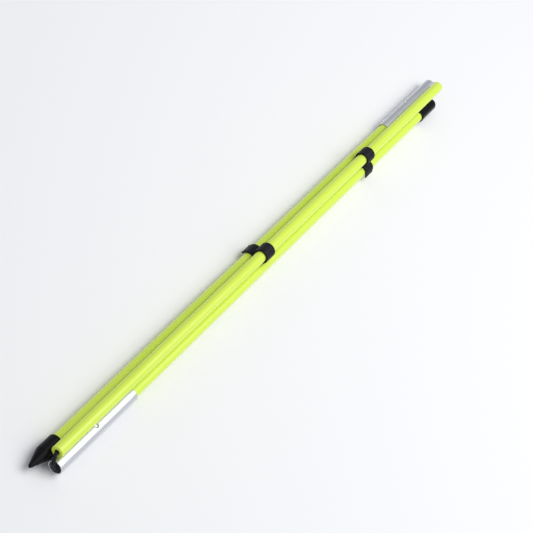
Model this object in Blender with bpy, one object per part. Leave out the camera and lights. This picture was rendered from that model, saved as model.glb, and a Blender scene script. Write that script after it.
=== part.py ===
"""Three-section folding marker rod with a shock cord, modelled folded up for carrying.

The pointed section and the capped section each end in an aluminium sleeve (ferrule) that slides
over an end of the plain middle section. One elastic cord runs through all three. Folded, the
middle section lies on top of the outer two, and a double clip on the middle tube holds each one.

Units are metres. +X runs along the rod away from the point, +Z is up, and the rod lies on Z = 0.
Every piece is first drawn with the middle tube's axis as the X axis and that tube's pointed-side
end at X = 0, and then the whole rod is set down on Z = 0 with its box centred over the origin.
"""

import math

import bmesh
import bpy
from mathutils import Vector

MM = 0.001

# ---------------------------------------------------------------- driving dimensions
GAP = 0.25 * MM              # clearance between pieces that touch
FACETS = 24                  # round pieces have this many sides
CORD_FACETS = 10
NOSE_STEPS = 4               # straight runs that each drawn curve is made of
DOME_STEPS = 7
KNOT_STEPS = 8
RING_STEPS = 22
FILLET_STEPS = 4
LIP_STEPS = 4
ARM_OUTER_STEPS = 9
ARM_INNER_STEPS = 11
EXIT_STEPS = 4
RIM_STEPS = 8
SETTLE_STEPS = 5
STRAIGHT_BELOW = 0.25 * MM   # a cord with less sideways reach than this is straight
SMOOTH_BELOW = math.radians(35)   # edges flatter than this are shaded smooth

TUBE_R = 3.35 * MM
TUBE_BORE_R = 1.5 * MM
MIDDLE_LENGTH = 420.0 * MM
PITCH = 9.0 * MM             # from the middle tube's axis to each outer tube's axis
TIP_SIDE = math.radians(31.75)    # each outer tube's direction from straight down,
CAP_SIDE = math.radians(-27.75)   # positive towards +Y

FERRULE_R = 4.2 * MM
FERRULE_BORE_R = TUBE_R + GAP
FERRULE_LENGTH = 66.0 * MM
TIP_LEAD = 4.7 * MM          # how far the pointed section's ferrule stands beyond the middle tube
CAP_LEAD = 1.7 * MM          # and the capped section's
STOP_HALF = 1.6 * MM         # the tube ends stop this far from the middle of the ferrule
CRIMP_R = 1.5 * MM           # the punched crimp between them
CRIMP_DEPTH = 0.7 * MM
CRIMP_STEPS = 8
TIP_CRIMP = math.radians(37)      # where each crimp is, from straight up, positive towards +Y
CAP_CRIMP = math.radians(4)

POINT_BEYOND = 12.35 * MM    # the point lies this far beyond the middle tube's end
POINT_CONE = 11.5 * MM
POINT_SLEEVE = 10.9 * MM
POINT_R = 4.37 * MM
POINT_NOSE_R = 1.0 * MM
POINT_NOSE_ARC = math.radians(68)
POINT_EDGE = 0.5 * MM        # size of the rounded corners on the point and the cap

CAP_SHORT = 6.0 * MM         # the cap's end stops this far short of the middle tube's end
CAP_LENGTH = 21.6 * MM
CAP_R = 4.17 * MM
CAP_DOME = 3.8 * MM
CAP_TUBE_SHORT = 8.6 * MM    # from the cap's outer end back to the tube inside it

CORD_R = 1.05 * MM
ANCHOR_R = 3.2 * MM          # washer that the knot pulls against
ANCHOR_THICK = 0.7 * MM
KNOT_R = 1.7 * MM
CHAMBER_R = 2.2 * MM         # hollow that the knot sits in
CHAMBER_DEPTH = 5.5 * MM
CORD_IN_TUBE = 3.0 * MM      # the cord's bend starts this deep in the middle tube
CORD_IN_FERRULE = 9.0 * MM   # and ends this deep in the ferrule
CORD_EXIT_BEND = 1.5 * MM    # bend radius where it leaves the middle tube
CORD_RIM_BEND = 1.45 * MM    # and where it passes over the ferrule's rim

CLIP_WIDTH = 8.8 * MM
CLIP_R = 4.6 * MM
CLIP_BORE_R = TUBE_R + GAP
CLIP_NECK_HALF = 2.0 * MM
CLIP_EDGE = 0.3 * MM         # chamfer on the clip's edges
JAW_HALF_OPEN = math.radians(55)
JAW_FLARE = 0.6 * MM         # how far each lip stands out from the jaw's circle
JAW_FLARE_ARC = math.radians(22)
TIP_CLIP_AT = 198.0 * MM
CAP_CLIP_AT = 318.9 * MM

# ---------------------------------------------------------------- places that follow from them
TIP_MOUTH = MIDDLE_LENGTH + TIP_LEAD              # the pointed section's ferrule opens to +X
CAP_MOUTH = -CAP_LEAD                             # the capped section's ferrule opens to -X
TUBE_END_DEPTH = FERRULE_LENGTH / 2 + STOP_HALF   # an outer tube ends this deep in its ferrule
POINT_APEX = -POINT_BEYOND
POINT_REAR = POINT_APEX + POINT_CONE + POINT_SLEEVE
TIP_TUBE_START = 0.0
CAP_END = MIDDLE_LENGTH - CAP_SHORT
CAP_REAR = CAP_END - CAP_LENGTH
CAP_TUBE_END = CAP_END - CAP_TUBE_SHORT


def side_offset(angle):
    """Where an outer tube's axis lies from the middle tube's, for its angle from straight down."""
    return Vector((0.0, PITCH * math.sin(angle), -PITCH * math.cos(angle)))


# ---------------------------------------------------------------- materials
def plain_material(name, colour, roughness, metallic=0.0):
    material = bpy.data.materials.new(name)
    material.use_nodes = True
    shader = material.node_tree.nodes["Principled BSDF"]
    shader.inputs["Base Color"].default_value = (*colour, 1.0)
    shader.inputs["Roughness"].default_value = roughness
    shader.inputs["Metallic"].default_value = metallic
    return material


def make_materials():
    return {
        "tube": plain_material("fluorescent_tube", (0.62, 0.9, 0.09), 0.3),
        "ferrule": plain_material("satin_aluminium", (0.75, 0.77, 0.79), 0.35, 1.0),
        "moulded": plain_material("black_moulded_plastic", (0.018, 0.018, 0.02), 0.45),
        "clip": plain_material("charcoal_clip_plastic", (0.03, 0.03, 0.036), 0.55),
        "cord": plain_material("black_elastic_cord", (0.012, 0.012, 0.013), 0.8),
        "washer": plain_material("zinc_washer", (0.6, 0.6, 0.58), 0.35, 1.0),
    }


# ---------------------------------------------------------------- mesh helpers
def finish_object(name, bm, material, parent=None, origin=Vector((0, 0, 0))):
    """Turns a bmesh drawn in rod coordinates into an object whose own origin is at origin."""
    bmesh.ops.recalc_face_normals(bm, faces=bm.faces)
    bmesh.ops.translate(bm, verts=bm.verts, vec=-origin)
    mesh = bpy.data.meshes.new(name)
    bm.to_mesh(mesh)
    bm.free()
    mesh.shade_smooth()
    mesh.set_sharp_from_angle(angle=SMOOTH_BELOW)
    mesh.materials.append(material)
    piece = bpy.data.objects.new(name, mesh)
    bpy.context.collection.objects.link(piece)
    piece.parent = parent
    piece.location = origin
    if parent is not None:
        piece.location = origin - parent.location
    return piece


def ring_of_vertices(bm, x, radius, axis):
    """One circle of vertices round an axis that runs along X through the point axis."""
    ring = []
    for i in range(FACETS):
        turn = 2 * math.pi * i / FACETS
        point = Vector((x, axis.y + radius * math.sin(turn), axis.z + radius * math.cos(turn)))
        ring.append(bm.verts.new(point))
    return ring


def join_rings(bm, first, second):
    count = len(first)
    for i in range(count):
        j = (i + 1) % count
        bm.faces.new((first[i], first[j], second[j], second[i]))


def turned(bm, outline, axis, closed):
    """Turns an outline of (x, radius) points. A closed outline makes a tube-like body; an open
    one starts and ends on the axis, where radius 0 closes the body with a point."""
    rings = []
    for x, radius in outline:
        if radius > 0:
            rings.append(ring_of_vertices(bm, x, radius, axis))
        else:
            rings.append(bm.verts.new(Vector((x, axis.y, axis.z))))
    pairs = list(zip(rings, rings[1:]))
    if closed:
        pairs.append((rings[-1], rings[0]))
    for first, second in pairs:
        if isinstance(first, list) and isinstance(second, list):
            join_rings(bm, first, second)
        else:
            apex, ring = (second, first) if isinstance(first, list) else (first, second)
            for i in range(FACETS):
                bm.faces.new((ring[i], ring[(i + 1) % FACETS], apex))


def tube_outline(start, end, outer, inner):
    return [(start, outer), (end, outer), (end, inner), (start, inner)]


def make_turned(name, outline, axis, material, parent=None, closed=True):
    bm = bmesh.new()
    turned(bm, outline, axis, closed)
    return finish_object(name, bm, material, parent, Vector((outline[0][0], axis.y, axis.z)))


def make_cord(name, points, material, parent=None):
    """A round cord through the points, which lie in one plane that holds the X direction."""
    bm = bmesh.new()
    across = (points[-1] - points[0]).cross(Vector((1, 0, 0)))
    across = across.normalized() if across.length > STRAIGHT_BELOW else Vector((0, 1, 0))
    rings = []
    for i, point in enumerate(points):
        before = points[max(i - 1, 0)]
        after = points[min(i + 1, len(points) - 1)]
        along = (after - before).normalized()
        up = along.cross(across).normalized()
        ring = []
        for k in range(CORD_FACETS):
            turn = 2 * math.pi * k / CORD_FACETS
            spoke = math.cos(turn) * across + math.sin(turn) * up
            ring.append(bm.verts.new(point + CORD_R * spoke))
        rings.append(ring)
    for first, second in zip(rings, rings[1:]):
        join_rings(bm, first, second)
    bm.faces.new(rings[0])
    bm.faces.new(rings[-1])
    return finish_object(name, bm, material, parent, points[0].copy())


# ---------------------------------------------------------------- ferrule
def make_ferrule(name, mouth, towards_tube, axis, crimp_angle, material, parent):
    """A thin sleeve with one crimp punched into it at mid length.

    towards_tube is +1 or -1, the direction along X from the mouth to the fixed tube."""
    middle = mouth + towards_tube * FERRULE_LENGTH / 2
    stations = [mouth, middle - towards_tube * CRIMP_R]
    for i in range(1, CRIMP_STEPS):
        stations.append(middle + towards_tube * CRIMP_R * (2 * i / CRIMP_STEPS - 1))
    stations += [middle + towards_tube * CRIMP_R, mouth + towards_tube * FERRULE_LENGTH]

    def dented(radius):
        """The rings of one wall, pushed in at the crimp."""
        rings = []
        for x in stations:
            ring = ring_of_vertices(bm, x, radius, axis)
            for vertex in ring:
                turn = math.atan2(vertex.co.y - axis.y, vertex.co.z - axis.z)
                arc = radius * (turn - crimp_angle)
                distance = math.hypot(arc, x - middle)
                if distance < CRIMP_R:
                    dent = CRIMP_DEPTH * 0.5 * (1 + math.cos(math.pi * distance / CRIMP_R))
                    inwards = Vector((0, axis.y - vertex.co.y, axis.z - vertex.co.z)).normalized()
                    vertex.co += inwards * dent
            rings.append(ring)
        return rings

    bm = bmesh.new()
    outer = dented(FERRULE_R)
    inner = dented(FERRULE_BORE_R)
    for wall in (outer, inner):
        for first, second in zip(wall, wall[1:]):
            join_rings(bm, first, second)
    join_rings(bm, outer[0], inner[0])
    join_rings(bm, outer[-1], inner[-1])
    return finish_object(name, bm, material, parent, Vector((mouth, axis.y, axis.z)))


# ---------------------------------------------------------------- clip
def arc_points(centre_u, radius, start, end, steps):
    points = []
    for i in range(steps + 1):
        angle = start + (end - start) * i / steps
        points.append((centre_u + radius * math.cos(angle), radius * math.sin(angle)))
    return points


def jaw_flare(angle_from_lip):
    """How far the jaw stands out from its circle, at an angle back from the lip's end."""
    share = max(0.0, 1.0 - angle_from_lip / JAW_FLARE_ARC)
    return JAW_FLARE * share * share


def jaw_arm(radius, sign, steps, from_angle):
    """One wall of a jaw arm from from_angle to the lip, as angles about the jaw's centre."""
    points = []
    for i in range(steps + 1):
        angle = from_angle + (JAW_HALF_OPEN - from_angle) * i / steps
        reach = radius + jaw_flare(angle - JAW_HALF_OPEN)
        points.append((PITCH + reach * math.cos(angle), sign * reach * math.sin(angle)))
    return points


def clip_outline(inset):
    """The clip's outline, seen along the rod: u runs from the middle tube to the outer tube.

    Returns the outside loop and the ring's bore, both pulled back into the wall by inset."""
    outer_r = CLIP_R - inset
    bore_r = CLIP_BORE_R + inset
    half_pitch = PITCH / 2
    # the concave fillet between ring and jaw, tangent to both circles
    overlap = half_pitch ** 2 - CLIP_R ** 2
    fillet_r = (CLIP_NECK_HALF ** 2 + overlap) / (2 * (CLIP_R - CLIP_NECK_HALF))
    fillet_v = CLIP_NECK_HALF + fillet_r
    meet = math.atan2(fillet_v, half_pitch)
    fillet_inner_r = fillet_r + inset
    ring = arc_points(0.0, outer_r, meet, 2 * math.pi - meet, RING_STEPS)

    def fillet(sign):
        points = []
        for i in range(1, FILLET_STEPS):
            angle = meet + (math.pi - 2 * meet) * i / FILLET_STEPS
            u = half_pitch - fillet_inner_r * math.cos(angle)
            v = fillet_v - fillet_inner_r * math.sin(angle)
            points.append((u, sign * v))
        return points

    def lip(sign):
        """The rounded end of one jaw arm, from its outer wall to its inner wall."""
        outer_end = jaw_arm(outer_r, sign, 1, JAW_HALF_OPEN)[-1]
        inner_end = jaw_arm(bore_r, sign, 1, JAW_HALF_OPEN)[-1]
        centre_u = (outer_end[0] + inner_end[0]) / 2
        centre_v = (outer_end[1] + inner_end[1]) / 2
        half = math.hypot(outer_end[0] - inner_end[0], outer_end[1] - inner_end[1]) / 2
        facing = sign * JAW_HALF_OPEN
        points = []
        for i in range(1, LIP_STEPS):
            angle = facing - sign * math.pi * i / LIP_STEPS
            points.append((centre_u + half * math.cos(angle), centre_v + half * math.sin(angle)))
        return points

    back = math.pi - meet
    lower_outer = jaw_arm(outer_r, -1, ARM_OUTER_STEPS, back)
    upper_outer = jaw_arm(outer_r, 1, ARM_OUTER_STEPS, back)
    lower_inner = jaw_arm(bore_r, -1, ARM_INNER_STEPS, math.pi)
    upper_inner = jaw_arm(bore_r, 1, ARM_INNER_STEPS, math.pi)
    loop = ring + fillet(-1) + lower_outer + lip(-1) + lower_inner[::-1]
    loop += upper_inner[1:] + lip(1)[::-1] + upper_outer[::-1] + fillet(1)[::-1]
    bore = arc_points(0.0, bore_r, 0.0, 2 * math.pi, FACETS)[:-1]
    return loop, bore


def make_clip(name, at, side, material):
    """The double clip: a closed ring on the middle tube, and an open jaw on the outer tube."""
    towards = Vector((0.0, math.sin(side), -math.cos(side)))
    across = Vector((0.0, math.cos(side), math.sin(side)))
    half = CLIP_WIDTH / 2
    flat = half - CLIP_EDGE
    layers = [(-half, CLIP_EDGE), (-flat, 0.0), (flat, 0.0), (half, CLIP_EDGE)]
    bm = bmesh.new()
    walls = []
    for x, inset in layers:
        middle = Vector((at + x, 0, 0))
        rings = []
        for loop in clip_outline(inset):
            rings.append([bm.verts.new(middle + u * towards + v * across) for u, v in loop])
        walls.append(rings)
    for lower, upper in zip(walls, walls[1:]):
        for first, second in zip(lower, upper):
            join_rings(bm, first, second)
    for rings in (walls[0], walls[-1]):
        edges = []
        for ring in rings:
            for i, vertex in enumerate(ring):
                edge = bm.edges.get((vertex, ring[(i + 1) % len(ring)]))
                edges.append(edge)
        bmesh.ops.triangle_fill(bm, edges=edges, use_beauty=True)
    return finish_object(name, bm, material, None, Vector((at, 0.0, 0.0)))


# ---------------------------------------------------------------- moulded ends
def dome_profile(centre_x, along, outward, arc, steps):
    """Points (x, radius) on an ellipse from the axis outwards, with half axes along and outward."""
    points = [(centre_x + along, 0.0)]
    for i in range(1, steps + 1):
        angle = arc * i / steps
        points.append((centre_x + along * math.cos(angle), outward * math.sin(angle)))
    return points


def point_outline():
    """The moulded point: a blunt cone, a sleeve, the tube's socket and the knot's hollow."""
    shoulder = POINT_APEX + POINT_CONE
    slope = (POINT_R - POINT_NOSE_R) / (POINT_CONE - POINT_NOSE_R)
    nose_x = POINT_APEX + POINT_NOSE_R
    nose = dome_profile(nose_x, -POINT_NOSE_R, POINT_NOSE_R, POINT_NOSE_ARC, NOSE_STEPS)
    floor = TIP_TUBE_START - GAP - ANCHOR_THICK - GAP
    return nose + [
        (shoulder - POINT_EDGE, POINT_R - POINT_EDGE * slope),
        (shoulder, POINT_R - POINT_EDGE * slope / 4),
        (shoulder + POINT_EDGE, POINT_R),
        (POINT_REAR - POINT_EDGE, POINT_R),
        (POINT_REAR, POINT_R - POINT_EDGE),
        (POINT_REAR, TUBE_R + GAP),
        (floor, TUBE_R + GAP),
        (floor, CHAMBER_R),
        (TIP_TUBE_START - CHAMBER_DEPTH, CHAMBER_R),
        (TIP_TUBE_START - CHAMBER_DEPTH, 0.0),
    ]


def cap_outline():
    """The moulded cap: a sleeve with a domed end, the tube's socket and the knot's hollow."""
    dome = dome_profile(CAP_END - CAP_DOME, CAP_DOME, CAP_R, math.pi / 2, DOME_STEPS)
    floor = CAP_TUBE_END + GAP + ANCHOR_THICK + GAP
    return dome + [
        (CAP_REAR + POINT_EDGE, CAP_R),
        (CAP_REAR, CAP_R - POINT_EDGE),
        (CAP_REAR, TUBE_R + GAP),
        (floor, TUBE_R + GAP),
        (floor, CHAMBER_R),
        (CAP_TUBE_END + CHAMBER_DEPTH, CHAMBER_R),
        (CAP_TUBE_END + CHAMBER_DEPTH, 0.0),
    ]


def knot_outline(centre):
    outline = dome_profile(centre, KNOT_R, KNOT_R, math.pi, KNOT_STEPS)
    outline[-1] = (centre - KNOT_R, 0.0)
    return outline


# ---------------------------------------------------------------- an outer section
def fold_cord_points(tube_end, outward, mouth, offset):
    """The cord's bend: out of the middle tube, over the ferrule's rim and into the ferrule.

    It is drawn in the plane of the two tubes. w runs outward along the rod from the middle tube's
    end, and u from the middle tube's axis to the ferrule's."""
    lead = abs(mouth - tube_end)
    rim_u = PITCH - (FERRULE_R + FERRULE_BORE_R) / 2
    exit_centre = (0.0, CORD_EXIT_BEND)
    rim_centre = (lead, rim_u)
    span_w = rim_centre[0] - exit_centre[0]
    span_u = rim_centre[1] - exit_centre[1]
    slant = math.asin((CORD_EXIT_BEND - CORD_RIM_BEND) / math.hypot(span_w, span_u))
    heading = math.atan2(span_u, span_w) + slant      # of the straight run between the bends

    route = [(-CORD_IN_TUBE, 0.0)]
    bends = [
        (exit_centre, CORD_EXIT_BEND, 0.0, heading, EXIT_STEPS),
        (rim_centre, CORD_RIM_BEND, heading, math.pi, RIM_STEPS),
    ]
    for (w, u), radius, start, end, steps in bends:
        for i in range(steps + 1):
            turn = start + (end - start) * i / steps
            route.append((w + radius * math.sin(turn), u - radius * math.cos(turn)))
    rim_end = route[-1][1]
    for i in range(1, SETTLE_STEPS + 1):
        share = i / SETTLE_STEPS
        ease = share * share * (3 - 2 * share)
        route.append((lead - CORD_IN_FERRULE * share, rim_end + (PITCH - rim_end) * ease))

    towards = offset / PITCH
    return [Vector((tube_end + outward * w, 0, 0)) + towards * u for w, u in route]


def make_outer_section(prefix, side, mouth, outward, closed_tube_end, materials):
    """Everything that swings with one outer section.

    outward is the direction along X in which its ferrule opens; closed_tube_end is where its tube
    ends inside the moulded point or cap."""
    offset = side_offset(side)
    hinge = bpy.data.objects.new(prefix + "_swing_axis", None)
    bpy.context.collection.objects.link(hinge)
    hinge.location = Vector((mouth, 0, 0)) + offset / 2
    ferrule_tube_end = mouth - outward * TUBE_END_DEPTH
    low, high = sorted((ferrule_tube_end, closed_tube_end))
    tube = tube_outline(low, high, TUBE_R, TUBE_BORE_R)
    make_turned(prefix + "_tube", tube, offset, materials["tube"], hinge)
    crimp = TIP_CRIMP if prefix == "tip" else CAP_CRIMP
    make_ferrule(prefix + "_ferrule", mouth, -outward, offset, crimp, materials["ferrule"], hinge)

    # the anchor washer and knot, beyond the tube's closed end
    washer_near = closed_tube_end - outward * GAP
    washer_far = washer_near - outward * ANCHOR_THICK
    low, high = sorted((washer_near, washer_far))
    washer = tube_outline(low, high, ANCHOR_R, CORD_R + GAP)
    make_turned(prefix + "_cord_washer", washer, offset, materials["washer"], hinge)
    knot_centre = washer_far - outward * (GAP + KNOT_R)
    knot = knot_outline(knot_centre)
    make_turned(prefix + "_cord_knot", knot, offset, materials["cord"], hinge, closed=False)

    # the cord: inside the section, in the ferrule's socket, and the bend between the two mouths
    inside = [Vector((washer_far, 0, 0)) + offset, Vector((ferrule_tube_end, 0, 0)) + offset]
    make_cord(prefix + "_cord", inside, materials["cord"], hinge)
    bend = fold_cord_points(MIDDLE_LENGTH if outward > 0 else 0.0, outward, mouth, offset)
    make_cord(prefix + "_cord_bend", bend, materials["cord"])
    socket_start = bend[-1] - Vector((outward * GAP, 0, 0))
    socket_end = Vector((ferrule_tube_end + outward * GAP, 0, 0)) + offset
    make_cord(prefix + "_socket_cord", [socket_start, socket_end], materials["cord"], hinge)
    return hinge


def set_down(pieces):
    """Moves everything so that the rod stands on Z = 0 with its box centred over the origin."""
    bpy.context.view_layer.update()
    corners = []
    for piece in pieces:
        if piece.type == "MESH":
            corners += [piece.matrix_world @ vertex.co for vertex in piece.data.vertices]
    low = Vector([min(corner[k] for corner in corners) for k in range(3)])
    high = Vector([max(corner[k] for corner in corners) for k in range(3)])
    shift = Vector((-(low.x + high.x) / 2, -(low.y + high.y) / 2, -low.z))
    for piece in pieces:
        if piece.parent is None:
            piece.location += shift


def build():
    for old in list(bpy.data.objects):
        bpy.data.objects.remove(old, do_unlink=True)
    materials = make_materials()
    centre_line = Vector((0, 0, 0))
    middle = tube_outline(0.0, MIDDLE_LENGTH, TUBE_R, TUBE_BORE_R)
    make_turned("middle_tube", middle, centre_line, materials["tube"])
    cord_inset = CORD_IN_TUBE + GAP
    middle_run = [Vector((cord_inset, 0, 0)), Vector((MIDDLE_LENGTH - cord_inset, 0, 0))]
    make_cord("middle_cord", middle_run, materials["cord"])
    make_clip("tip_clip", TIP_CLIP_AT, TIP_SIDE, materials["clip"])
    make_clip("cap_clip", CAP_CLIP_AT, CAP_SIDE, materials["clip"])

    tip_axis = make_outer_section("tip", TIP_SIDE, TIP_MOUTH, 1, TIP_TUBE_START, materials)
    tip_line = side_offset(TIP_SIDE)
    make_turned("tip_point", point_outline(), tip_line, materials["moulded"], tip_axis, closed=False)
    cap_axis = make_outer_section("cap", CAP_SIDE, CAP_MOUTH, -1, CAP_TUBE_END, materials)
    cap_line = side_offset(CAP_SIDE)
    make_turned("end_cap", cap_outline(), cap_line, materials["moulded"], cap_axis, closed=False)
    set_down(list(bpy.data.objects))


build()
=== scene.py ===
"""Looks for the folding marker rod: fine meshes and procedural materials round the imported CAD
frame.

Everything is in metres in the CAD's own frame: +X along the rod away from the point, +Z up, the
rod lying on Z = 0. Every place is read from the boxes of the CAD nodes.
"""
import math
from collections import namedtuple

import bmesh
import bpy
from mathutils import Euler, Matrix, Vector


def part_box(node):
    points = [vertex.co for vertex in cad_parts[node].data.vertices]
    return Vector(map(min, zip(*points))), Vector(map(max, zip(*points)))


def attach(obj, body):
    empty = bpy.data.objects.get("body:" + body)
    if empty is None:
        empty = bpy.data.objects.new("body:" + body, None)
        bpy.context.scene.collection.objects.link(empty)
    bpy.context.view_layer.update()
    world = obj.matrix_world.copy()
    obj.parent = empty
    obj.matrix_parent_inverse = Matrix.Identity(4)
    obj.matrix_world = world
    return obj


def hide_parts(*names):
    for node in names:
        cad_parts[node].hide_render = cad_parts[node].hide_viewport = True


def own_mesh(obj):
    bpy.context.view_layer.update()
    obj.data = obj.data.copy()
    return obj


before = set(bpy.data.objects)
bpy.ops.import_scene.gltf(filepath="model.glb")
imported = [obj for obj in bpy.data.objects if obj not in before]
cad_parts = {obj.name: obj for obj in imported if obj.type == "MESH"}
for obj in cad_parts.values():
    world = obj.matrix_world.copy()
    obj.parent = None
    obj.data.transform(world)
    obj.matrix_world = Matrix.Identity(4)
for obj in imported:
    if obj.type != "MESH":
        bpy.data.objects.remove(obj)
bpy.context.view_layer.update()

MM = 0.001

# ---------------------------------------------------------------- camera
# its place is measured from the middle tube's end at the point
CAMERA_FROM_NEAR_END = Vector((-0.5125, -0.0466, 0.7073))
CAMERA_TURN = Euler([math.radians(degrees) for degrees in (36.877, -27.694, -54.942)])
CAMERA_LENS = 120.06
SENSOR_WIDTH = 36.0

# ---------------------------------------------------------------- dimensions the boxes don't give
TUBE_BORE_R = 1.5 * MM
TUBE_LIP = 0.32 * MM           # where the rounding of a tube's cut end starts, from the corner
TUBE_BORE_LIP = 0.6 * TUBE_LIP
FERRULE_WALL = 0.6 * MM
FERRULE_LIP = 0.22 * MM
CRIMP_R = 1.5 * MM
CRIMP_DEPTH = 0.7 * MM
CRIMP_WALL = 0.55              # share of the crimp's radius taken by its sloping side
TIP_CRIMP = math.radians(37)   # from straight up, positive towards +Y
CAP_CRIMP = math.radians(4)
CRIMP_REACH = 1.15 * CRIMP_R   # the close rings reach this far to each side of the crimp
CRIMP_RINGS = 26
GAP = 0.25 * MM                # clearance between pieces that fit into each other

POINT_CONE = 11.5 * MM
POINT_NOSE_R = 1.0 * MM
POINT_NOSE_ARC = math.radians(66)
POINT_SHOULDER_EDGE = 0.7 * MM
POINT_TUBE_IN = 10.05 * MM     # how far the tube goes into the point
CAP_DOME = 3.8 * MM
CAP_TUBE_IN = 13.0 * MM
CAP_DRAFT = 0.06 * MM
MOULDED_EDGE = 0.55 * MM
SOCKET_MOUTH_EDGE = 0.15 * MM
SOCKET_FLOOR_EDGE = 0.2 * MM
CHAMBER_EDGE = 0.4 * MM
CHAMBER_R = 2.2 * MM
CHAMBER_DEPTH = 5.5 * MM

CORD_R = 1.05 * MM
CORD_IN_TUBE = 3.0 * MM
CORD_IN_FERRULE = 9.0 * MM
CORD_EXIT_BEND = 1.5 * MM
CORD_RIM_BEND = 1.45 * MM
STRAIGHT_WITHIN = 0.25 * MM    # a cord that leaves the X direction by less runs along it
BRAID_STRANDS = 8
BRAID_PITCH = 5.2 * MM
BRAID_DEPTH = 0.09 * MM
BRAID_DIP = 0.55               # a strand's height where it goes under the next, crown = 1
WASHER_EDGE = 0.15 * MM
KNOT_WRAPS = 3
KNOT_LEAN = 0.35               # how far the wraps' poles lean towards the rod's axis
KNOT_WRAP_AT = 0.12            # a wrap's distance from the great circle round its pole
KNOT_WRAP_HALF = 0.42          # half a wrap's width
KNOT_GROOVE = 0.26             # depth between the wraps, as a share of the radius

CLIP_WIDTH = 8.8 * MM
CLIP_R = 4.6 * MM
CLIP_BORE_R = 3.6 * MM
CLIP_NECK_HALF = 2.0 * MM
CLIP_EDGE = 0.42 * MM
CLIP_INNER_EDGE = 0.2 * MM
JAW_HALF_OPEN = math.radians(55)
JAW_FLARE = 0.6 * MM
JAW_FLARE_ARC = math.radians(22)
RIB_COUNT = 5                  # fine ribs round the outside of a clip
RIB_DEPTH = 0.09 * MM
RIB_LAYERS = 8                 # layers to each rib
RIB_FADE = 1.6                 # how fast the ribs fade in from the clip's edges
RIB_POWER = 3                  # narrows the grooves between the ribs
EDGE_LAYERS = 5

# ---------------------------------------------------------------- fineness of the meshes
TUBE_SPACING = 15 * MM
FERRULE_SPACING = 6 * MM
MOULDED_SPACING = 1.5 * MM
FERRULE_SEGMENTS = 144
WASHER_SEGMENTS = 72
NOSE_STEPS = 9
DOME_STEPS = 18
MOULDED_EDGE_STEPS = 6
FERRULE_EDGE_STEPS = 4
RING_STEPS = 64
BORE_STEPS = 96
FILLET_STEPS = 10
LIP_STEPS = 8
ARM_OUTER_STEPS = 30
ARM_INNER_STEPS = 40
KNOT_SUBDIVISIONS = 5
BEND_SPACING = 0.14 * MM
SOCKET_CORD_SPACING = 0.16 * MM
INNER_CORD_SPACING = 0.5 * MM
BEND_STEPS = 24                # in each arc of the cord's bend, and in its run into the ferrule
FINE_CORD_SEGMENTS = 64
INNER_CORD_SEGMENTS = 32

# ---------------------------------------------------------------- stage
FLOOR_HALF = 6.0               # half the floor's side
FLOOR_DROP = 0.03 * MM
LIGHT_PLACE = Vector((0.30, -0.45, 1.15))
LIGHT_TARGET = Vector((0.02, 0.0, 0.0))
LIGHT_SIDE = 1.15
LIGHT_WATTS = 13.6
SKY_COLOUR = (0.93, 0.95, 1.0, 1.0)
SKY_STRENGTH = 0.47

Line = namedtuple("Line", "low high y z radius")


def line_of(node):
    """The axis of a round CAD node that lies along X."""
    low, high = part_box(node)
    return Line(low.x, high.x, (low.y + high.y) / 2, (low.z + high.z) / 2, (high.z - low.z) / 2)


# ---------------------------------------------------------------- material nodes
class Surface:
    """A Principled material with short calls for the nodes that vary it."""

    def __init__(self, name, colour, roughness, **constants):
        self.material = bpy.data.materials.new(name)
        self.material.use_nodes = True
        self.tree = self.material.node_tree
        self.shader = self.tree.nodes["Principled BSDF"]
        self.set(self.shader, "Base Color", (*colour, 1.0))
        self.set(self.shader, "Roughness", roughness)
        for socket, value in constants.items():
            self.set(self.shader, socket.replace("_", " "), value)
        self.coordinates = self.tree.nodes.new("ShaderNodeTexCoord").outputs["Object"]

    def set(self, node, socket, value):
        if isinstance(value, bpy.types.NodeSocket):
            self.tree.links.new(value, node.inputs[socket])
        else:
            node.inputs[socket].default_value = value

    def noise(self, scale, detail=3.0, roughness=0.55):
        """Noise of about one grain for each 1 / scale metres along X, Y and Z."""
        mapping = self.tree.nodes.new("ShaderNodeMapping")
        self.set(mapping, "Vector", self.coordinates)
        self.set(mapping, "Scale", scale)
        texture = self.tree.nodes.new("ShaderNodeTexNoise")
        self.set(texture, "Vector", mapping.outputs["Vector"])
        self.set(texture, "Scale", 1.0)
        self.set(texture, "Detail", detail)
        self.set(texture, "Roughness", roughness)
        return texture.outputs["Fac"]

    def ranged(self, value, low, high, to_low, to_high):
        node = self.tree.nodes.new("ShaderNodeMapRange")
        for socket, number in zip(("Value", "From Min", "From Max", "To Min", "To Max"),
                                  (value, low, high, to_low, to_high)):
            self.set(node, socket, number)
        return node.outputs["Result"]

    def mixed(self, share, first, second):
        node = self.tree.nodes.new("ShaderNodeMix")
        node.data_type = "RGBA"
        inputs = [s for s in node.inputs if s.type == "RGBA"]
        self.tree.links.new(share, node.inputs[0])
        for socket, colour in zip(inputs, (first, second)):
            if isinstance(colour, bpy.types.NodeSocket):
                self.tree.links.new(colour, socket)
            else:
                socket.default_value = (*colour, 1.0)
        return [s for s in node.outputs if s.type == "RGBA"][0]

    def math(self, operation, first, second):
        node = self.tree.nodes.new("ShaderNodeMath")
        node.operation = operation
        self.set(node, 0, first)
        self.set(node, 1, second)
        return node.outputs["Value"]

    def bump(self, height, strength, depth, under=None):
        node = self.tree.nodes.new("ShaderNodeBump")
        self.set(node, "Height", height)
        self.set(node, "Strength", strength)
        self.set(node, "Distance", depth)
        if under is not None:
            self.set(node, "Normal", under)
        return node.outputs["Normal"]


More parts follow.
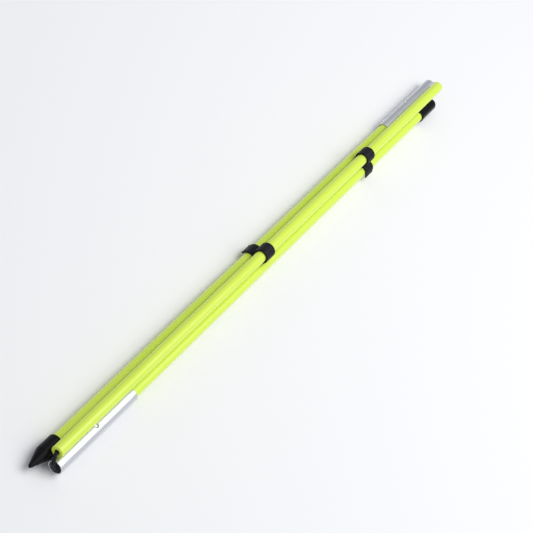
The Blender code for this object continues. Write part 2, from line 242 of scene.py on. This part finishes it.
def tube_surface():
    """Fluorescent yellow-green gloss over fine lengthwise lines, with faint handling marks."""
    s = Surface("fluorescent_gloss_tube", (0.70, 0.90, 0.07), 0.25,
                Coat_Weight=0.35, Coat_Roughness=0.22, Specular_IOR_Level=0.3)
    streaks = s.noise((7.0, 2400.0, 2400.0), detail=4.0)
    patches = s.noise((38.0, 90.0, 90.0), detail=2.0)
    specks = s.noise((1900.0, 2600.0, 2600.0), detail=1.0)
    base = s.mixed(s.ranged(streaks, 0.3, 0.7, 0.0, 1.0),
                   (0.67, 0.845, 0.080), (0.725, 0.895, 0.105))
    base = s.mixed(s.ranged(patches, 0.45, 0.8, 0.0, 0.35), base, (0.62, 0.84, 0.05))
    base = s.mixed(s.ranged(specks, 0.74, 0.82, 0.0, 0.35), base, (0.42, 0.50, 0.10))
    s.set(s.shader, "Base Color", base)
    wear = s.math("ADD", s.ranged(streaks, 0.3, 0.75, 0.20, 0.30),
                  s.ranged(patches, 0.45, 0.75, 0.0, 0.08))
    s.set(s.shader, "Roughness", wear)
    s.set(s.shader, "Normal", s.bump(streaks, 0.06, 0.010 * MM, s.bump(patches, 0.08, 0.06 * MM)))
    return s.material


def ferrule_surface():
    """Satin aluminium, drawn lengthwise, with fine scratches and slightly dulled patches."""
    s = Surface("satin_drawn_aluminium", (0.78, 0.79, 0.81), 0.33, Metallic=1.0)
    drawn = s.noise((22.0, 5200.0, 5200.0), detail=5.0, roughness=0.65)
    patches = s.noise((160.0, 300.0, 300.0), detail=3.0)
    nicks = s.noise((420.0, 2600.0, 2600.0), detail=2.0)
    base = s.mixed(s.ranged(drawn, 0.3, 0.7, 0.0, 1.0), (0.66, 0.68, 0.71), (0.79, 0.81, 0.835))
    base = s.mixed(s.ranged(nicks, 0.70, 0.80, 0.0, 0.5), base, (0.50, 0.51, 0.53))
    s.set(s.shader, "Base Color", base)
    rough = s.math("ADD", s.ranged(drawn, 0.25, 0.75, 0.36, 0.50),
                   s.ranged(patches, 0.4, 0.7, 0.0, 0.08))
    s.set(s.shader, "Roughness", rough)
    s.set(s.shader, "Normal", s.bump(drawn, 0.12, 0.015 * MM, s.bump(nicks, 0.08, 0.02 * MM)))
    return s.material


def point_surface():
    """Hard black moulding with a soft sheen, fine pits and scuffs that run back from the apex."""
    s = Surface("black_moulded_point", (0.006, 0.006, 0.007), 0.42, Specular_IOR_Level=0.13)
    grain = s.noise((2600.0, 2600.0, 2600.0), detail=4.0)
    scuffs = s.noise((260.0, 1900.0, 1900.0), detail=3.0)
    base = s.mixed(s.ranged(scuffs, 0.55, 0.8, 0.0, 1.0),
                   (0.004, 0.004, 0.005), (0.012, 0.012, 0.013))
    s.set(s.shader, "Base Color", base)
    s.set(s.shader, "Roughness", s.ranged(scuffs, 0.3, 0.75, 0.36, 0.52))
    s.set(s.shader, "Normal", s.bump(grain, 0.3, 0.03 * MM, s.bump(scuffs, 0.15, 0.03 * MM)))
    return s.material


def cap_surface():
    """Glossy black moulded cap, a little uneven, with faint rub marks."""
    s = Surface("black_gloss_cap", (0.003, 0.003, 0.004), 0.25, Specular_IOR_Level=0.13)
    waves = s.noise((150.0, 260.0, 260.0), detail=2.0)
    rubs = s.noise((700.0, 1900.0, 1900.0), detail=4.0)
    base = s.mixed(s.ranged(rubs, 0.62, 0.85, 0.0, 1.0),
                   (0.004, 0.004, 0.005), (0.016, 0.016, 0.017))
    s.set(s.shader, "Base Color", base)
    s.set(s.shader, "Roughness", s.ranged(rubs, 0.35, 0.8, 0.13, 0.30))
    s.set(s.shader, "Normal", s.bump(rubs, 0.12, 0.02 * MM, s.bump(waves, 0.35, 0.1 * MM)))
    return s.material


def clip_surface():
    """Charcoal nylon with a fine moulded grain, paler where it has rubbed."""
    s = Surface("charcoal_moulded_clip", (0.009, 0.009, 0.013), 0.5, Specular_IOR_Level=0.15)
    grain = s.noise((3600.0, 3600.0, 3600.0), detail=3.0)
    mottle = s.noise((520.0, 520.0, 520.0), detail=3.0)
    base = s.mixed(s.ranged(mottle, 0.35, 0.75, 0.0, 1.0),
                   (0.007, 0.007, 0.010), (0.016, 0.016, 0.021))
    s.set(s.shader, "Base Color", base)
    s.set(s.shader, "Roughness", s.ranged(mottle, 0.3, 0.7, 0.42, 0.58))
    s.set(s.shader, "Normal", s.bump(grain, 0.45, 0.04 * MM))
    return s.material


def cord_surface():
    """Black braided polyester: dull, with single fibres and lint catching the light."""
    s = Surface("black_braided_cord", (0.006, 0.006, 0.007), 0.78,
                Specular_IOR_Level=0.3, Sheen_Weight=0.06)
    fibres = s.noise((5200.0, 5200.0, 5200.0), detail=4.0)
    lint = s.noise((900.0, 900.0, 900.0), detail=3.0)
    base = s.mixed(s.ranged(fibres, 0.35, 0.75, 0.0, 1.0),
                   (0.004, 0.004, 0.005), (0.016, 0.016, 0.017))
    base = s.mixed(s.ranged(lint, 0.68, 0.85, 0.0, 0.35), base, (0.05, 0.05, 0.05))
    s.set(s.shader, "Base Color", base)
    s.set(s.shader, "Roughness", s.ranged(lint, 0.3, 0.7, 0.70, 0.86))
    s.set(s.shader, "Normal", s.bump(fibres, 0.5, 0.04 * MM))
    return s.material


def washer_surface():
    """Zinc plate, cloudy, with a faint warm cast."""
    s = Surface("zinc_plated_washer", (0.62, 0.61, 0.58), 0.35, Metallic=1.0)
    cloud = s.noise((700.0, 700.0, 700.0), detail=4.0)
    base = s.mixed(s.ranged(cloud, 0.3, 0.7, 0.0, 1.0), (0.52, 0.52, 0.50), (0.72, 0.71, 0.66))
    s.set(s.shader, "Base Color", base)
    s.set(s.shader, "Roughness", s.ranged(cloud, 0.3, 0.7, 0.26, 0.46))
    s.set(s.shader, "Normal", s.bump(cloud, 0.2, 0.03 * MM))
    return s.material


# ---------------------------------------------------------------- meshes
def finish_piece(name, bm, material, body, nodes, sharp_degrees=40):
    """Turns a bmesh drawn in the row frame into a piece that rides on body and stands for nodes."""
    bmesh.ops.recalc_face_normals(bm, faces=bm.faces)
    mesh = bpy.data.meshes.new(name)
    bm.to_mesh(mesh)
    bm.free()
    mesh.set_sharp_from_angle(angle=math.radians(sharp_degrees))
    mesh.materials.append(material)
    piece = bpy.data.objects.new(name, mesh)
    bpy.context.scene.collection.objects.link(piece)
    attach(piece, body)
    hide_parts(*nodes)
    return piece


def join_rings(bm, first, second):
    for i in range(len(first)):
        j = (i + 1) % len(first)
        face = bm.faces.new((first[i], first[j], second[j], second[i]))
        face.smooth = True


def eased(points, closed, steps=5):
    """Rounds the corners of a profile. Each point is (x, radius, cut), where cut is how far back
    from the corner the rounding starts."""
    result = []
    count = len(points)
    for i, (x, r, cut) in enumerate(points):
        inside = closed or 0 < i < count - 1
        if cut == 0 or not inside:
            result.append((x, r))
            continue
        here = Vector((x, r))
        before = Vector(points[(i - 1) % count][:2])
        after = Vector(points[(i + 1) % count][:2])
        start = here + (before - here).normalized() * cut
        end = here + (after - here).normalized() * cut
        for k in range(steps + 1):
            t = k / steps
            point = start * (1 - t) ** 2 + here * 2 * t * (1 - t) + end * t * t
            result.append((point.x, point.y))
    return result


def with_stations(profile, spacing, closed):
    """Adds points so that no stretch of a profile is longer than spacing."""
    pairs = list(zip(profile, profile[1:] + profile[:1]))
    if not closed:
        pairs = pairs[:-1]
    result = []
    for (x0, r0), (x1, r1) in pairs:
        parts = max(1, math.ceil(math.hypot(x1 - x0, r1 - r0) / spacing))
        for k in range(parts):
            result.append((x0 + (x1 - x0) * k / parts, r0 + (r1 - r0) * k / parts))
    if not closed:
        result.append(profile[-1])
    return result


def turned(profile, line, closed, segments=96, change=None):
    """A bmesh of the profile of (x, radius) points turned round the line. Radius 0 is the axis.
    change(x, radius, angle) gives a new radius, for a dent; the angle is from straight up."""
    bm = bmesh.new()
    rings = []
    for x, r in profile:
        if r <= 0:
            rings.append(bm.verts.new((x, line.y, line.z)))
            continue
        ring = []
        for i in range(segments):
            angle = 2 * math.pi * i / segments
            radius = change(x, r, angle) if change else r
            ring.append(bm.verts.new((
                x, line.y + radius * math.sin(angle), line.z + radius * math.cos(angle))))
        rings.append(ring)
    pairs = list(zip(rings, rings[1:]))
    if closed:
        pairs.append((rings[-1], rings[0]))
    for first, second in pairs:
        if isinstance(first, list) and isinstance(second, list):
            join_rings(bm, first, second)
            continue
        apex, ring = (second, first) if isinstance(first, list) else (first, second)
        for i in range(segments):
            bm.faces.new((ring[i], ring[(i + 1) % segments], apex)).smooth = True
    return bm


# ---------------------------------------------------------------- tubes and ferrules
def make_tube(node, body, material):
    line = line_of(node)
    profile = eased([
        (line.low, line.radius, TUBE_LIP), (line.high, line.radius, TUBE_LIP),
        (line.high, TUBE_BORE_R, TUBE_BORE_LIP),
        (line.low, TUBE_BORE_R, TUBE_BORE_LIP)], closed=True)
    bm = turned(with_stations(profile, TUBE_SPACING, closed=True), line, closed=True)
    finish_piece(node + "_skin", bm, material, body, [node])


def make_ferrule(node, body, crimp_angle, material):
    """A thin sleeve with a punched crimp at mid length and lightly broken edges."""
    line = line_of(node)
    middle = (line.low + line.high) / 2

    def wall(start, end, radius):
        """Rings of one wall, close together at the crimp."""
        points = [(start, radius, FERRULE_LIP)]
        sign = 1 if start > end else -1
        for i in range(CRIMP_RINGS + 1):
            from_middle = CRIMP_REACH - 2 * CRIMP_REACH * i / CRIMP_RINGS
            points.append((middle + from_middle * sign, radius, 0))
        return points + [(end, radius, FERRULE_LIP)]

    def crimped(x, radius, angle):
        turn = angle - 2 * math.pi if angle > math.pi else angle
        arc = line.radius * (turn - crimp_angle)
        distance = math.hypot(arc, x - middle) / CRIMP_R
        if distance >= 1:
            return radius
        share = min(1.0, (1.0 - distance) / CRIMP_WALL)
        return radius - CRIMP_DEPTH * share * share * (3 - 2 * share)

    outside = wall(line.low, line.high, line.radius)
    inside = wall(line.high, line.low, line.radius - FERRULE_WALL)
    profile = eased(outside + inside, closed=True, steps=FERRULE_EDGE_STEPS)
    profile = with_stations(profile, FERRULE_SPACING, closed=True)
    bm = turned(profile, line, closed=True, segments=FERRULE_SEGMENTS, change=crimped)
    finish_piece(node + "_skin", bm, material, body, [node],
                 sharp_degrees=50)


# ---------------------------------------------------------------- moulded point and cap
def dome(start_x, along, outward, arc, steps):
    """Profile points of an ellipse from its tip on the axis out to its rim."""
    points = [(start_x + along, 0.0, 0)]
    for i in range(1, steps + 1):
        angle = arc * i / steps
        points.append((start_x + along * math.cos(angle), outward * math.sin(angle), 0))
    return points


def make_point(material):
    """The moulded point: blunt straight cone, sleeve, tube socket and the knot's hollow."""
    line = line_of("tip_point")
    shoulder = line.low + POINT_CONE
    tube_end = line.high - POINT_TUBE_IN
    washer = line_of("tip_cord_washer")
    floor = tube_end - GAP - (washer.high - washer.low) - GAP
    socket_r = line_of("tip_tube").radius + GAP
    nose = dome(line.low + POINT_NOSE_R, -POINT_NOSE_R, POINT_NOSE_R, POINT_NOSE_ARC,
                NOSE_STEPS)
    profile = eased(nose + [
        (shoulder, line.radius, POINT_SHOULDER_EDGE),
        (line.high, line.radius, MOULDED_EDGE),
        (line.high, socket_r, SOCKET_MOUTH_EDGE),
        (floor, socket_r, SOCKET_FLOOR_EDGE),
        (floor, CHAMBER_R, 0),
        (tube_end - CHAMBER_DEPTH, CHAMBER_R, CHAMBER_EDGE),
        (tube_end - CHAMBER_DEPTH, 0.0, 0)], closed=False, steps=MOULDED_EDGE_STEPS)
    bm = turned(with_stations(profile, MOULDED_SPACING, closed=False), line, closed=False)
    finish_piece("tip_point_skin", bm, material, "tip_section", ["tip_point"])


def make_cap(material):
    """The moulded cap: domed end, sleeve with a little draft, tube socket and the knot's hollow."""
    line = line_of("end_cap")
    tube_end = line.low + CAP_TUBE_IN
    washer = line_of("cap_cord_washer")
    floor = tube_end + GAP + (washer.high - washer.low) + GAP
    socket_r = line_of("cap_tube").radius + GAP
    top = dome(line.high - CAP_DOME, CAP_DOME, line.radius - CAP_DRAFT, math.pi / 2, DOME_STEPS)
    profile = eased(top + [
        (line.low, line.radius, MOULDED_EDGE),
        (line.low, socket_r, SOCKET_MOUTH_EDGE),
        (floor, socket_r, SOCKET_FLOOR_EDGE),
        (floor, CHAMBER_R, 0),
        (tube_end + CHAMBER_DEPTH, CHAMBER_R, CHAMBER_EDGE),
        (tube_end + CHAMBER_DEPTH, 0.0, 0)], closed=False, steps=MOULDED_EDGE_STEPS)
    bm = turned(with_stations(profile, MOULDED_SPACING, closed=False), line, closed=False)
    finish_piece("end_cap_skin", bm, material, "cap_section", ["end_cap"])


# ---------------------------------------------------------------- clips
def arc_points(radius, start, end, steps):
    return [(radius * math.cos(start + (end - start) * i / steps),
             radius * math.sin(start + (end - start) * i / steps)) for i in range(steps + 1)]


def clip_outline(pitch, outer_inset, inner_inset):
    """The clip seen along the rod, u from the middle tube to the outer tube: the outside loop and
    the ring's bore, each pulled back into the wall by its inset."""
    outer_r = CLIP_R - outer_inset
    bore_r = CLIP_BORE_R + inner_inset
    half = pitch / 2
    fillet_r = (CLIP_NECK_HALF ** 2 + half ** 2 - CLIP_R ** 2) / (2 * (CLIP_R - CLIP_NECK_HALF))
    fillet_v = CLIP_NECK_HALF + fillet_r
    meet = math.atan2(fillet_v, half)
    ring = arc_points(outer_r, meet, 2 * math.pi - meet, RING_STEPS)

    def fillet(sign):
        points = []
        for i in range(1, FILLET_STEPS):
            angle = meet + (math.pi - 2 * meet) * i / FILLET_STEPS
            points.append((half - (fillet_r + outer_inset) * math.cos(angle),
                           sign * (fillet_v - (fillet_r + outer_inset) * math.sin(angle))))
        return points

    def arm(radius, sign, steps, start):
        points = []
        for i in range(steps + 1):
            angle = start + (JAW_HALF_OPEN - start) * i / steps
            share = max(0.0, 1.0 - (angle - JAW_HALF_OPEN) / JAW_FLARE_ARC)
            reach = radius + JAW_FLARE * share * share
            points.append((pitch + reach * math.cos(angle), sign * reach * math.sin(angle)))
        return points

    def lip(sign):
        outer_end = Vector(arm(outer_r, sign, 1, JAW_HALF_OPEN)[-1])
        inner_end = Vector(arm(bore_r, sign, 1, JAW_HALF_OPEN)[-1])
        centre = (outer_end + inner_end) / 2
        radius = (outer_end - inner_end).length / 2
        points = []
        for i in range(1, LIP_STEPS):
            angle = sign * (JAW_HALF_OPEN - math.pi * i / LIP_STEPS)
            points.append((centre.x + radius * math.cos(angle),
                           centre.y + radius * math.sin(angle)))
        return points

    back = math.pi - meet
    outer_arms = {sign: arm(outer_r, sign, ARM_OUTER_STEPS, back) for sign in (-1, 1)}
    inner_arms = {sign: arm(bore_r, sign, ARM_INNER_STEPS, math.pi) for sign in (-1, 1)}
    loop = ring + fillet(-1) + outer_arms[-1] + lip(-1) + inner_arms[-1][::-1]
    loop += inner_arms[1][1:] + lip(1)[::-1] + outer_arms[1][::-1] + fillet(1)[::-1]
    return loop, arc_points(bore_r, 0.0, 2 * math.pi, BORE_STEPS)[:-1]


def clip_layers():
    """Places along the clip's width with the outer and inner inset at each: rounded edges, and
    fine ribs round the outside."""
    half = CLIP_WIDTH / 2
    edge = []
    for i in range(EDGE_LAYERS + 1):
        turn = math.pi / 2 * i / EDGE_LAYERS
        x = -half + CLIP_EDGE * (1 - math.cos(turn))
        edge.append((x, CLIP_EDGE * (1 - math.sin(turn)), CLIP_INNER_EDGE * (1 - math.sin(turn))))
    ribs = []
    run = half - CLIP_EDGE
    count = RIB_COUNT * RIB_LAYERS
    for i in range(1, count):
        groove = (0.5 + 0.5 * math.cos(2 * math.pi * i / RIB_LAYERS)) ** RIB_POWER
        fade = min(1.0, i / RIB_LAYERS * RIB_FADE, (count - i) / RIB_LAYERS * RIB_FADE)
        ribs.append((-run + 2 * run * i / count, RIB_DEPTH * groove * fade, 0.0))
    return edge + ribs + [(-x, outer, inner) for x, outer, inner in reversed(edge)]


def make_clip(node, tube_node, body, material):
    """A closed ring on the middle tube and an open jaw on the outer tube."""
    middle = line_of("middle_tube")
    outer = line_of(tube_node)
    low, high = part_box(node)
    at = (low.x + high.x) / 2
    towards = Vector((0.0, outer.y - middle.y, outer.z - middle.z))
    pitch = towards.length
    towards.normalize()
    across = Vector((0.0, -towards.z, towards.y))
    bm = bmesh.new()
    walls = []
    for x, outer_inset, inner_inset in clip_layers():
        centre = Vector((at + x, middle.y, middle.z))
        rings = []
        for loop in clip_outline(pitch, outer_inset, inner_inset):
            rings.append([bm.verts.new(centre + u * towards + v * across) for u, v in loop])
        walls.append(rings)
    for lower, upper in zip(walls, walls[1:]):
        for first, second in zip(lower, upper):
            join_rings(bm, first, second)
    for rings in (walls[0], walls[-1]):
        edges = []
        for ring in rings:
            edges += [bm.edges.get((v, ring[(i + 1) % len(ring)])) for i, v in enumerate(ring)]
        bmesh.ops.triangle_fill(bm, edges=edges, use_beauty=True)
    finish_piece(node + "_skin", bm, material, body, [node], sharp_degrees=60)


# ---------------------------------------------------------------- cord
def resampled(points, spacing):
    """Points at even distances along a polyline."""
    lengths = [0.0]
    for first, second in zip(points, points[1:]):
        lengths.append(lengths[-1] + (second - first).length)
    count = max(2, round(lengths[-1] / spacing))
    result = []
    k = 0
    for i in range(count + 1):
        target = lengths[-1] * i / count
        while k < len(points) - 2 and lengths[k + 1] < target:
            k += 1
        span = lengths[k + 1] - lengths[k]
        result.append(points[k].lerp(points[k + 1], (target - lengths[k]) / span))
    return result


def braid_height(angle, along):
    """How far the braid's surface lies below the strands' crowns, from 0 to 1."""
    first = BRAID_STRANDS * (angle / (2 * math.pi)) + BRAID_STRANDS * along / BRAID_PITCH
    second = BRAID_STRANDS * (angle / (2 * math.pi)) - BRAID_STRANDS * along / BRAID_PITCH
    over = (math.floor(first) + math.floor(second)) % 2 == 0
    across, run = (first, second) if over else (second, first)
    rise = BRAID_DIP + (1.0 - BRAID_DIP) * math.sin(math.pi * (run % 1.0))
    return 1.0 - math.sin(math.pi * (across % 1.0)) * rise


def make_cord(name, points, body, nodes, material, spacing, segments):
    """A round cord through the points, with the braid as real relief."""
    path = resampled(points, spacing)
    across = (points[-1] - points[0]).cross(Vector((1, 0, 0)))
    across = across.normalized() if across.length > STRAIGHT_WITHIN else Vector((0, 1, 0))
    bm = bmesh.new()
    rings = []
    for i, point in enumerate(path):
        ahead = (path[min(i + 1, len(path) - 1)] - path[max(i - 1, 0)]).normalized()
        up = ahead.cross(across).normalized()
        ring = []
        for k in range(segments):
            angle = 2 * math.pi * k / segments
            radius = CORD_R - BRAID_DEPTH * braid_height(angle, i * spacing)
            spoke = math.cos(angle) * across + math.sin(angle) * up
            ring.append(bm.verts.new(point + radius * spoke))
        rings.append(ring)
    for first, second in zip(rings, rings[1:]):
        join_rings(bm, first, second)
    bm.faces.new(rings[0])
    bm.faces.new(rings[-1])
    return finish_piece(name, bm, material, body, nodes, sharp_degrees=75)


def fold_route(middle_end, outward, ferrule_line):
    """The cord's bend: out of the middle tube, over the ferrule's rim and into the ferrule.
    w runs outward from the middle tube's end, and u from its axis to the ferrule's. Returns the
    bend's points, the middle of the tube's end, and the direction of u."""
    middle = line_of("middle_tube")
    mouth = ferrule_line.high if outward > 0 else ferrule_line.low
    offset = Vector((0.0, ferrule_line.y - middle.y, ferrule_line.z - middle.z))
    pitch = offset.length
    lead = abs(mouth - middle_end)
    rim_u = pitch - ferrule_line.radius + FERRULE_WALL / 2
    slant = math.asin((CORD_EXIT_BEND - CORD_RIM_BEND) / math.hypot(lead, rim_u - CORD_EXIT_BEND))
    heading = math.atan2(rim_u - CORD_EXIT_BEND, lead) + slant
    route = [(-CORD_IN_TUBE, 0.0)]
    for w, u, radius, start, end in ((0.0, CORD_EXIT_BEND, CORD_EXIT_BEND, 0.0, heading),
                                     (lead, rim_u, CORD_RIM_BEND, heading, math.pi)):
        for i in range(BEND_STEPS + 1):
            turn = start + (end - start) * i / BEND_STEPS
            route.append((w + radius * math.sin(turn), u - radius * math.cos(turn)))
    rim_end = route[-1][1]
    for i in range(1, BEND_STEPS + 1):
        share = i / BEND_STEPS
        ease = share * share * (3 - 2 * share)
        route.append((lead - CORD_IN_FERRULE * share, rim_end + (pitch - rim_end) * ease))
    start = Vector((middle_end, middle.y, middle.z))
    towards = offset / pitch
    return [start + Vector((outward * w, 0, 0)) + towards * u for w, u in route], start, towards


def make_fold(prefix, middle_end, outward, material):
    """The bend of the cord at one end, and the length that lies in the ferrule's open half."""
    ferrule_line = line_of(prefix + "_ferrule")
    route, start, towards = fold_route(middle_end, outward, ferrule_line)
    bend = make_cord(prefix + "_cord_bend_braid", route, prefix + "_fold", [prefix + "_cord_bend"],
                     material, BEND_SPACING, FINE_CORD_SEGMENTS)
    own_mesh(bend)

    low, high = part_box(prefix + "_socket_cord")
    inner_x = low.x if outward > 0 else high.x
    socket = [route[-1], Vector((inner_x, ferrule_line.y, ferrule_line.z))]
    cord = make_cord(prefix + "_socket_cord_braid", socket, prefix + "_lead",
                     [prefix + "_socket_cord"], material, SOCKET_CORD_SPACING, FINE_CORD_SEGMENTS)
    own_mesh(cord)


def make_inner_cord(node, body, material):
    line = line_of(node)
    points = [Vector((line.low, line.y, line.z)), Vector((line.high, line.y, line.z))]
    make_cord(node + "_braid", points, body, [node], material,
              INNER_CORD_SPACING, INNER_CORD_SEGMENTS)


def make_knot(node, body, material):
    """The cord's end pulled up into a small hard knot: three wraps round a ball."""
    line = line_of(node)
    radius = (line.high - line.low) / 2
    centre = Vector(((line.low + line.high) / 2, line.y, line.z))
    bm = bmesh.new()
    bmesh.ops.create_icosphere(bm, subdivisions=KNOT_SUBDIVISIONS, radius=1.0)
    for vertex in bm.verts:
        n = vertex.co.normalized()
        lobes = []
        for k in range(KNOT_WRAPS):
            tilt = 2 * math.pi * k / KNOT_WRAPS
            pole = Vector((KNOT_LEAN, math.cos(tilt), math.sin(tilt))).normalized()
            off_centre = abs(n.dot(pole)) - KNOT_WRAP_AT
            lobes.append(1.0 - min(1.0, (off_centre / KNOT_WRAP_HALF) ** 2) * KNOT_GROOVE)
        vertex.co = centre + n * radius * max(lobes)
    for face in bm.faces:
        face.smooth = True
    finish_piece(node + "_wraps", bm, material, body, [node], sharp_degrees=80)


def make_washer(node, body, material):
    line = line_of(node)
    profile = eased([
        (line.low, line.radius, WASHER_EDGE), (line.high, line.radius, WASHER_EDGE),
        (line.high, CORD_R + GAP, WASHER_EDGE), (line.low, CORD_R + GAP, WASHER_EDGE)], closed=True)
    bm = turned(profile, line, closed=True, segments=WASHER_SEGMENTS)
    finish_piece(node + "_plate", bm, material, body, [node])


# ---------------------------------------------------------------- stage
def make_floor():
    bm = bmesh.new()
    bmesh.ops.create_grid(bm, x_segments=2, y_segments=2, size=FLOOR_HALF)
    mesh = bpy.data.meshes.new("floor")
    bm.to_mesh(mesh)
    bm.free()
    floor = bpy.data.objects.new("floor", mesh)
    floor.location = (0, 0, -FLOOR_DROP)
    bpy.context.scene.collection.objects.link(floor)
    surface = Surface("pale_floor", (0.88, 0.88, 0.885), 0.7, Specular_IOR_Level=0.2)
    mesh.materials.append(surface.material)


def make_softbox():
    data = bpy.data.lights.new("overhead_softbox", "AREA")
    data.shape = "SQUARE"
    data.size = LIGHT_SIDE
    data.energy = LIGHT_WATTS
    light = bpy.data.objects.new("overhead_softbox", data)
    light.location = LIGHT_PLACE
    light.rotation_euler = (LIGHT_TARGET - LIGHT_PLACE).to_track_quat("-Z", "Y").to_euler()
    bpy.context.scene.collection.objects.link(light)


def make_world():
    world = bpy.data.worlds.new("studio")
    world.use_nodes = True
    background = world.node_tree.nodes["Background"]
    background.inputs["Color"].default_value = SKY_COLOUR
    background.inputs["Strength"].default_value = SKY_STRENGTH
    bpy.context.scene.world = world
    bpy.context.scene.view_settings.view_transform = "Standard"


def make_camera():
    middle = line_of("middle_tube")
    data = bpy.data.cameras.new("camera")
    data.sensor_width = SENSOR_WIDTH
    data.lens = CAMERA_LENS
    data.clip_start = 0.01
    camera = bpy.data.objects.new("camera", data)
    bpy.context.scene.collection.objects.link(camera)
    camera.location = Vector((middle.low, middle.y, middle.z)) + CAMERA_FROM_NEAR_END
    camera.rotation_euler = CAMERA_TURN
    bpy.context.scene.camera = camera


# ---------------------------------------------------------------- the whole rod
def make_rod():
    tube, ferrule, cord = tube_surface(), ferrule_surface(), cord_surface()
    clip, washer = clip_surface(), washer_surface()
    middle = line_of("middle_tube")
    make_tube("middle_tube", "middle_section", tube)
    make_inner_cord("middle_cord", "middle_section", cord)
    ends = (("tip", TIP_CRIMP, middle.high, 1), ("cap", CAP_CRIMP, middle.low, -1))
    for prefix, crimp, end, outward in ends:
        section = prefix + "_section"
        make_tube(prefix + "_tube", section, tube)
        make_ferrule(prefix + "_ferrule", section, crimp, ferrule)
        make_clip(prefix + "_clip", prefix + "_tube", prefix + "_clip_body", clip)
        make_fold(prefix, end, outward, cord)
        make_inner_cord(prefix + "_cord", section, cord)
        make_knot(prefix + "_cord_knot", section, cord)
        make_washer(prefix + "_cord_washer", section, washer)
    make_point(point_surface())
    make_cap(cap_surface())


make_rod()
make_floor()
make_softbox()
make_world()
make_camera()
